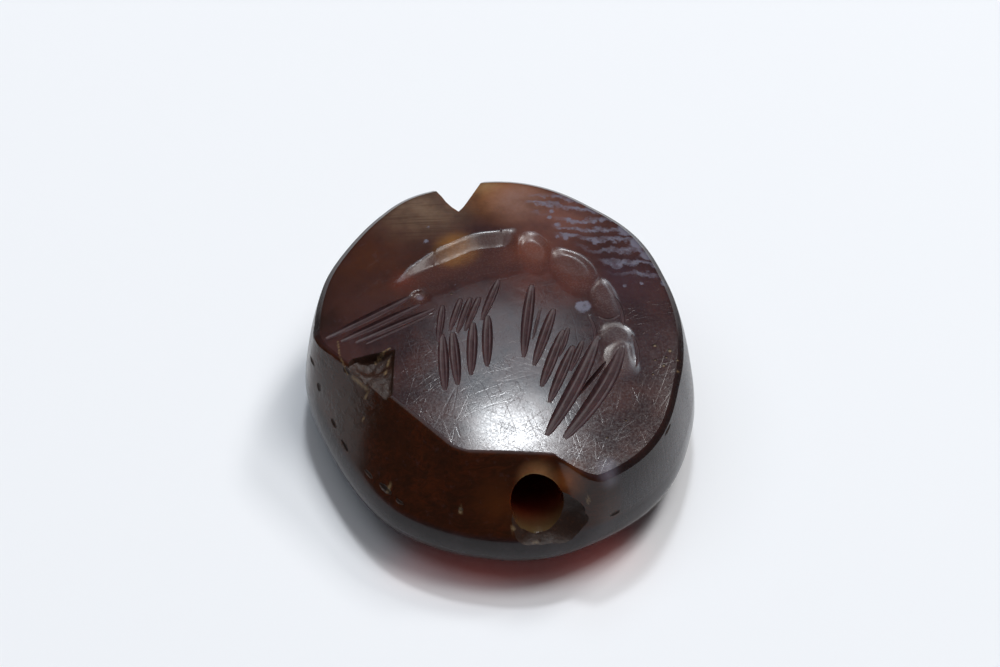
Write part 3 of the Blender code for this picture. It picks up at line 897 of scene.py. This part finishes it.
# Scratches: degrees turned, a shift that sets them apart, their length and their gap in millimetres
SCRATCHES = ((8, 0, 8, 0.45), (97, 3, 7, 0.5), (-38, 9, 9, 0.5), (61, 14, 8, 0.6), (28, 21, 7, 0.4))
SCRATCH_WIDTH, SCRATCH_WANDER, SCRATCH_RELIEF = 0.014, 0.15, 0.2
CRAZE_SCALE, CRAZE_WIDTH, CRAZE_STRENGTH = 1.1, 0.02, 0.5

# Plain settings of the stone's shader
SHADER = {
    "IOR": 1.54, "Specular IOR Level": 0.28, "Subsurface Weight": 0.15,
    "Subsurface Radius": (1.0, 0.3, 0.12), "Subsurface Scale": 0.0012}


def stone_body(wire):
    """Dark brown stone, redder and streaked in the ground facets, with soft patches of colour, some partly
    painted glow.
    """
    cloud, wobble = wire.texture(*CLOUD), wire.texture(*WOBBLE)
    colour = wire.mix(wire.ramp(cloud, 0.35, 0.65), *BODY)
    streak = wire.noise(wire.stretched(*FACET_STREAKS), 1.0, 6.0, 0.7, 1.2)
    redness = wire.times(wire.ramp(streak, 0.25, 0.8), wire.ramp(cloud, 0.3, 0.7, 0.25, 1.0))
    colour = wire.mix(wire.mask("facet"), colour, wire.mix(redness, *FACET_RED))
    for middle, radius, tint, strength in PATCHES:
        share = wire.times(wire.spot(middle, radius), strength)
        share = wire.times(share, wire.ramp(wobble, 0.25, 0.75, 0.45, 1.25), clamp=True)
        colour = wire.mix(share, colour, (*tint, 1))
    lines = wire.noise(wire.stretched(*GROWTH_STREAKS))
    lines = wire.times(wire.ramp(lines, 0.48, 0.62), wire.spot(GROWTH_PLACE, GROWTH_RADIUS))
    return wire.mix(wire.times(lines, GROWTH_STRENGTH), colour, GROWTH_LINE)


def blue_white_bands(wire, colour):
    """Wavy, ragged bands of blue-white, and flecks of the same."""
    wobble, ragged = wire.texture(*WOBBLE), wire.texture(*RAGGED)
    inputs = {0: wire.place, 1: BAND_DIRECTION}
    level = wire.node("ShaderNodeVectorMath", inputs, "Value", operation="DOT_PRODUCT")
    level = wire.plus(level, wire.times(wobble, BAND_WAVER))
    level = wire.plus(level, wire.times(ragged, BAND_RAGGEDNESS))
    wave = wire.math("SINE", wire.times(level, 2 * math.pi / BAND_SPACING))
    vein = wire.times(wire.ramp(wave, -0.45, 1.0), wire.mask("banded"))
    vein = wire.times(vein, wire.ramp(ragged, 0.36, 0.6, 0.35, 1.0))
    fleck = wire.ramp(wire.plus(wire.mask("fleck"), wire.ramp(ragged, 0.3, 0.7, -0.5, 0.2)), 0.1, 0.9)
    return wire.mix(wire.times(wire.math("MAXIMUM", vein, fleck), BAND_STRENGTH), colour, BLUE_WHITE)


def upright_streaks(wire):
    return wire.noise(wire.stretched(*FLANK_STREAKS), 1.0, 3.0, 0.6)


def sides(wire, colour):
    """Grey-brown sides with upright streaks, and the girdle's band."""
    upright, wobble = upright_streaks(wire), wire.texture(*WOBBLE)
    flank = wire.mix(wire.ramp(upright, 0.35, 0.7), *FLANK_GREY)
    colour = wire.mix(wire.times(wire.mask("side"), SIDE_TINT), colour, flank)
    band = wire.mix(wire.ramp(wobble, 0.35, 0.7), *BAND_GREY)
    return wire.mix(wire.mask("band"), colour, band)


def bruises(wire):
    """How strongly the pitted part of the left side is bruised."""
    return wire.times(wire.mask("pitted"), wire.ramp(wire.texture(*BRUISES), 0.48, 0.62))


def cut_places(wire, colour):
    """Red hollows, matt purple-brown strokes, torn stone, the bore with a painted red glow inside, a painted
    dark line of shade along the face's edge, and pale wear partly painted as glints.
    """
    ragged, sugar = wire.texture(*RAGGED), wire.texture(*SUGAR)
    colour = wire.mix(wire.times(wire.mask("hollow"), HOLLOW_TINT), colour, HOLLOW_RED)
    stroke = wire.mix(wire.ramp(ragged, 0.35, 0.65), *STROKE_PURPLE)
    colour = wire.mix(wire.times(wire.mask("engraved"), STROKE_TINT), colour, stroke)
    torn = wire.mix(wire.ramp(sugar, 0.52, 0.8), *TORN_BROWN)
    colour = wire.mix(wire.times(wire.mask("fracture"), TORN_TINT), colour, torn)
    colour = wire.mix(wire.times(bruises(wire), BRUISE_TINT), colour, torn)
    along = wire.node("ShaderNodeSeparateXYZ", {"Vector": wire.place}, "Y")
    # Painted red glow inside the bore, past its brown mouth
    bore_and_glow = wire.mix(wire.ramp(along, *BORE_GLOW_RAMP), BORE_MOUTH, BORE_PAINTED_GLOW)
    colour = wire.mix(wire.mask("bore"), colour, bore_and_glow)
    # Painted shade: a dark line along the face's edge
    colour = wire.mix(wire.times(wire.mask("rim"), RIM_SHADE_TINT), colour, RIM_PAINTED_SHADE)
    # Pale wear and painted glints
    return wire.mix(wire.times(wire.mask("worn"), wire.ramp(sugar, 0.3, 0.55)), colour, WORN_AND_GLINT_PALE)


def roughness(wire):
    """Polished stone, duller in the engraving, the torn places and the sides."""
    added = wire.ramp(wire.mask("hollow"), 0.0, HOLLOW_EDGE, 0.0, HOLLOW_ROUGHER)
    for mask, rougher in (
            ("engraved", STROKE_ROUGHER), ("fracture", TORN_ROUGHER), ("side", SIDE_ROUGHER)):
        added = wire.plus(added, wire.times(wire.mask(mask), rougher))
    return wire.plus(wire.ramp(wire.texture(*GRAIN), 0.3, 0.7, *POLISH), added)


def scratches(wire):
    """Fine scratches every which way and a crazing, stronger in patches."""
    cell = {"Vector": wire.place, "Scale": CRAZE_SCALE, "Randomness": 1.0}
    craze = wire.node("ShaderNodeTexVoronoi", cell, "Distance", feature="DISTANCE_TO_EDGE")
    scratch = wire.ramp(craze, 0.0, CRAZE_WIDTH, CRAZE_STRENGTH, 0.0)
    for turn, shift, reach, gap in SCRATCHES:
        streaks = wire.stretched((reach, gap, 1.0), turn, shift)
        line = wire.noise(streaks, 1.0, 0.0, 0.5, SCRATCH_WANDER)
        away = wire.math("ABSOLUTE", wire.math("SUBTRACT", line, 0.5))
        scratch = wire.math("MAXIMUM", scratch, wire.ramp(away, 0.0, SCRATCH_WIDTH, 1.0, 0.0))
    patchy = wire.texture(*POLISH_PATCHES)
    return wire.times(scratch, wire.ramp(patchy, 0.35, 0.6, 0.1, 0.9))


def relief(wire):
    """The bump of grain and scratches, of sugary torn stone and of streaks down the sides."""
    height = wire.times(wire.texture(*GRAIN), GRAIN_RELIEF)
    height = wire.math("SUBTRACT", height, wire.times(scratches(wire), SCRATCH_RELIEF))
    bruised = wire.times(bruises(wire), BRUISE_RELIEF)
    bruised = wire.math("MAXIMUM", wire.mask("fracture"), bruised)
    sugar = wire.times(wire.texture(*SUGAR), SUGAR_RELIEF)
    height = wire.plus(height, wire.times(bruised, sugar))
    upright = wire.times(upright_streaks(wire), SIDE_RELIEF)
    height = wire.plus(height, wire.times(wire.mask("side"), upright))
    inputs = {"Height": height, "Strength": 1.0, "Distance": BUMP_HEIGHT}
    return wire.node("ShaderNodeBump", inputs, "Normal")


def banded_agate():
    """Dark brown agate: red and amber patches, blue-white bands, polish, fine scratches and torn stone, with
    painted glow, glints and rim shade.
    """
    material = bpy.data.materials.new("banded_agate")
    wire = Wiring(material)
    colour = stone_body(wire)
    colour = blue_white_bands(wire, colour)
    colour = sides(wire, colour)
    colour = cut_places(wire, colour)
    wire.tree.links.new(colour, wire.shader.inputs["Base Color"])
    wire.tree.links.new(roughness(wire), wire.shader.inputs["Roughness"])
    wire.tree.links.new(relief(wire), wire.shader.inputs["Normal"])
    for name, value in SHADER.items():
        wire.shader.inputs[name].default_value = value
    return material


# The room that the stone reflects, and the backdrop that only the camera sees
ROOM_BRIGHTNESS, BACKDROP_BRIGHTNESS = 0.04, 0.85
ROOM_COLOUR = (0.86, 0.92, 1, 1)

# The floor: half its side in metres, its colour and its roughness
FLOOR_REACH, FLOOR_COLOUR, FLOOR_ROUGHNESS = 1.5, (0.868, 0.874, 0.902, 1), 0.8

# Softboxes: name, azimuth and elevation, width and height in metres, watts and colour
LIGHT_DISTANCE = 0.8
WARM_WHITE = (1, 0.995, 0.98)
SOFTBOXES = (
    ("low_softbox", 126, 50, (0.14, 0.14), 1.5, WARM_WHITE),
    ("right_softbox", 104, 70, (0.28, 0.28), 2.35, WARM_WHITE),
    ("top_softbox", 90, 84, (0.6, 0.6), 0.75, WARM_WHITE),
    ("back_softbox", 165, 65.5, (0.08, 0.065), 1.6, (0.94, 0.97, 1)),
    ("back_skirt", 166, 58, (0.17, 0.24), 0.6, (0.72, 0.88, 1)),
    ("left_fill", -112, 64, (0.45, 0.45), 0.8, (0.85, 0.92, 1)))

# Red glows under the near edge: middle in millimetres and watts, with their size in metres
GLOWS = (((1.8, -8.9, 1.3), 0.000008), ((-1.2, -8.7, 1.3), 0.000008), ((-4.0, -7.8, 1.3), 0.000005))
GLOW_SIZE, GLOW_COLOUR = (0.006, 0.002), (1, 0.13, 0.08)

# The camera: its azimuth and elevation, its distance and nearest sight in metres, and in millimetres
# the place that it looks at, its lens and its sensor
VIEW, VIEW_DISTANCE, VIEW_START = (-12, 52), 0.35, 0.01
VIEW_MIDDLE = (0.284, 1.5272, 4.4166)
LENS, SENSOR_WIDTH = 270.9, 36


def pale_floor():
    data = bpy.data.meshes.new("floor")
    corners = [(x * FLOOR_REACH, y * FLOOR_REACH, 0) for x, y in ((-1, -1), (1, -1), (1, 1), (-1, 1))]
    data.from_pydata(corners, [], [(0, 1, 2, 3)])
    floor = placed("floor", data)
    material = bpy.data.materials.new("pale_floor")
    material.use_nodes = True
    shader = material.node_tree.nodes["Principled BSDF"]
    shader.inputs["Base Color"].default_value = FLOOR_COLOUR
    shader.inputs["Roughness"].default_value = FLOOR_ROUGHNESS
    floor.data.materials.append(material)


def direction(azimuth, elevation):
    """Unit vector towards a place seen from the stone: azimuth 0 is in front, 90 to the right."""
    turn, lift = math.radians(azimuth), math.radians(elevation)
    return Vector((math.sin(turn) * math.cos(lift), -math.cos(turn) * math.cos(lift), math.sin(lift)))


def area_light(name, shape, size, power, colour):
    light = bpy.data.lights.new(name, "AREA")
    light.shape = shape
    light.size, light.size_y = size
    light.energy = power
    light.color = colour
    return placed(name, light)


def softbox(name, azimuth, elevation, size, power, colour):
    lamp = area_light(name, "RECTANGLE", size, power, colour)
    back = direction(azimuth, elevation)
    lamp.location = back * LIGHT_DISTANCE
    lamp.rotation_euler = back.to_track_quat("Z", "Y").to_euler()


def glow_through_stone():
    """The red light that the translucent stone lets down onto the floor under its near edge."""
    for middle, power in GLOWS:
        lamp = area_light("glow", "ELLIPSE", GLOW_SIZE, power, GLOW_COLOUR)
        lamp.location = Vector(middle) * MM


def camera():
    data = bpy.data.cameras.new("camera")
    data.lens = LENS
    data.sensor_width = SENSOR_WIDTH
    data.clip_start = VIEW_START
    made = placed("camera", data)
    back = direction(*VIEW)
    made.location = Vector(VIEW_MIDDLE) * MM + back * VIEW_DISTANCE
    made.rotation_euler = back.to_track_quat("Z", "Y").to_euler()
    bpy.context.scene.camera = made


def world():
    """A dim room that the stone reflects, and a pale backdrop that only the camera sees."""
    sky = bpy.data.worlds.new("studio")
    bpy.context.scene.world = sky
    sky.use_nodes = True
    tree = sky.node_tree
    back = tree.nodes["Background"]
    seen = tree.nodes.new("ShaderNodeLightPath")
    choice = tree.nodes.new("ShaderNodeMix")
    choice.inputs[2].default_value = ROOM_BRIGHTNESS
    choice.inputs[3].default_value = BACKDROP_BRIGHTNESS
    tree.links.new(seen.outputs["Is Camera Ray"], choice.inputs[0])
    tree.links.new(choice.outputs[0], back.inputs["Strength"])
    back.inputs["Color"].default_value = ROOM_COLOUR


camera()
world()
bpy.context.scene.view_settings.view_transform = "Standard"
pale_floor()
for box in SOFTBOXES:
    softbox(*box)
glow_through_stone()
stone = dressed_stone()
stone.data.materials.append(banded_agate())
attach(stone, "root")
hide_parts("seal_stone")
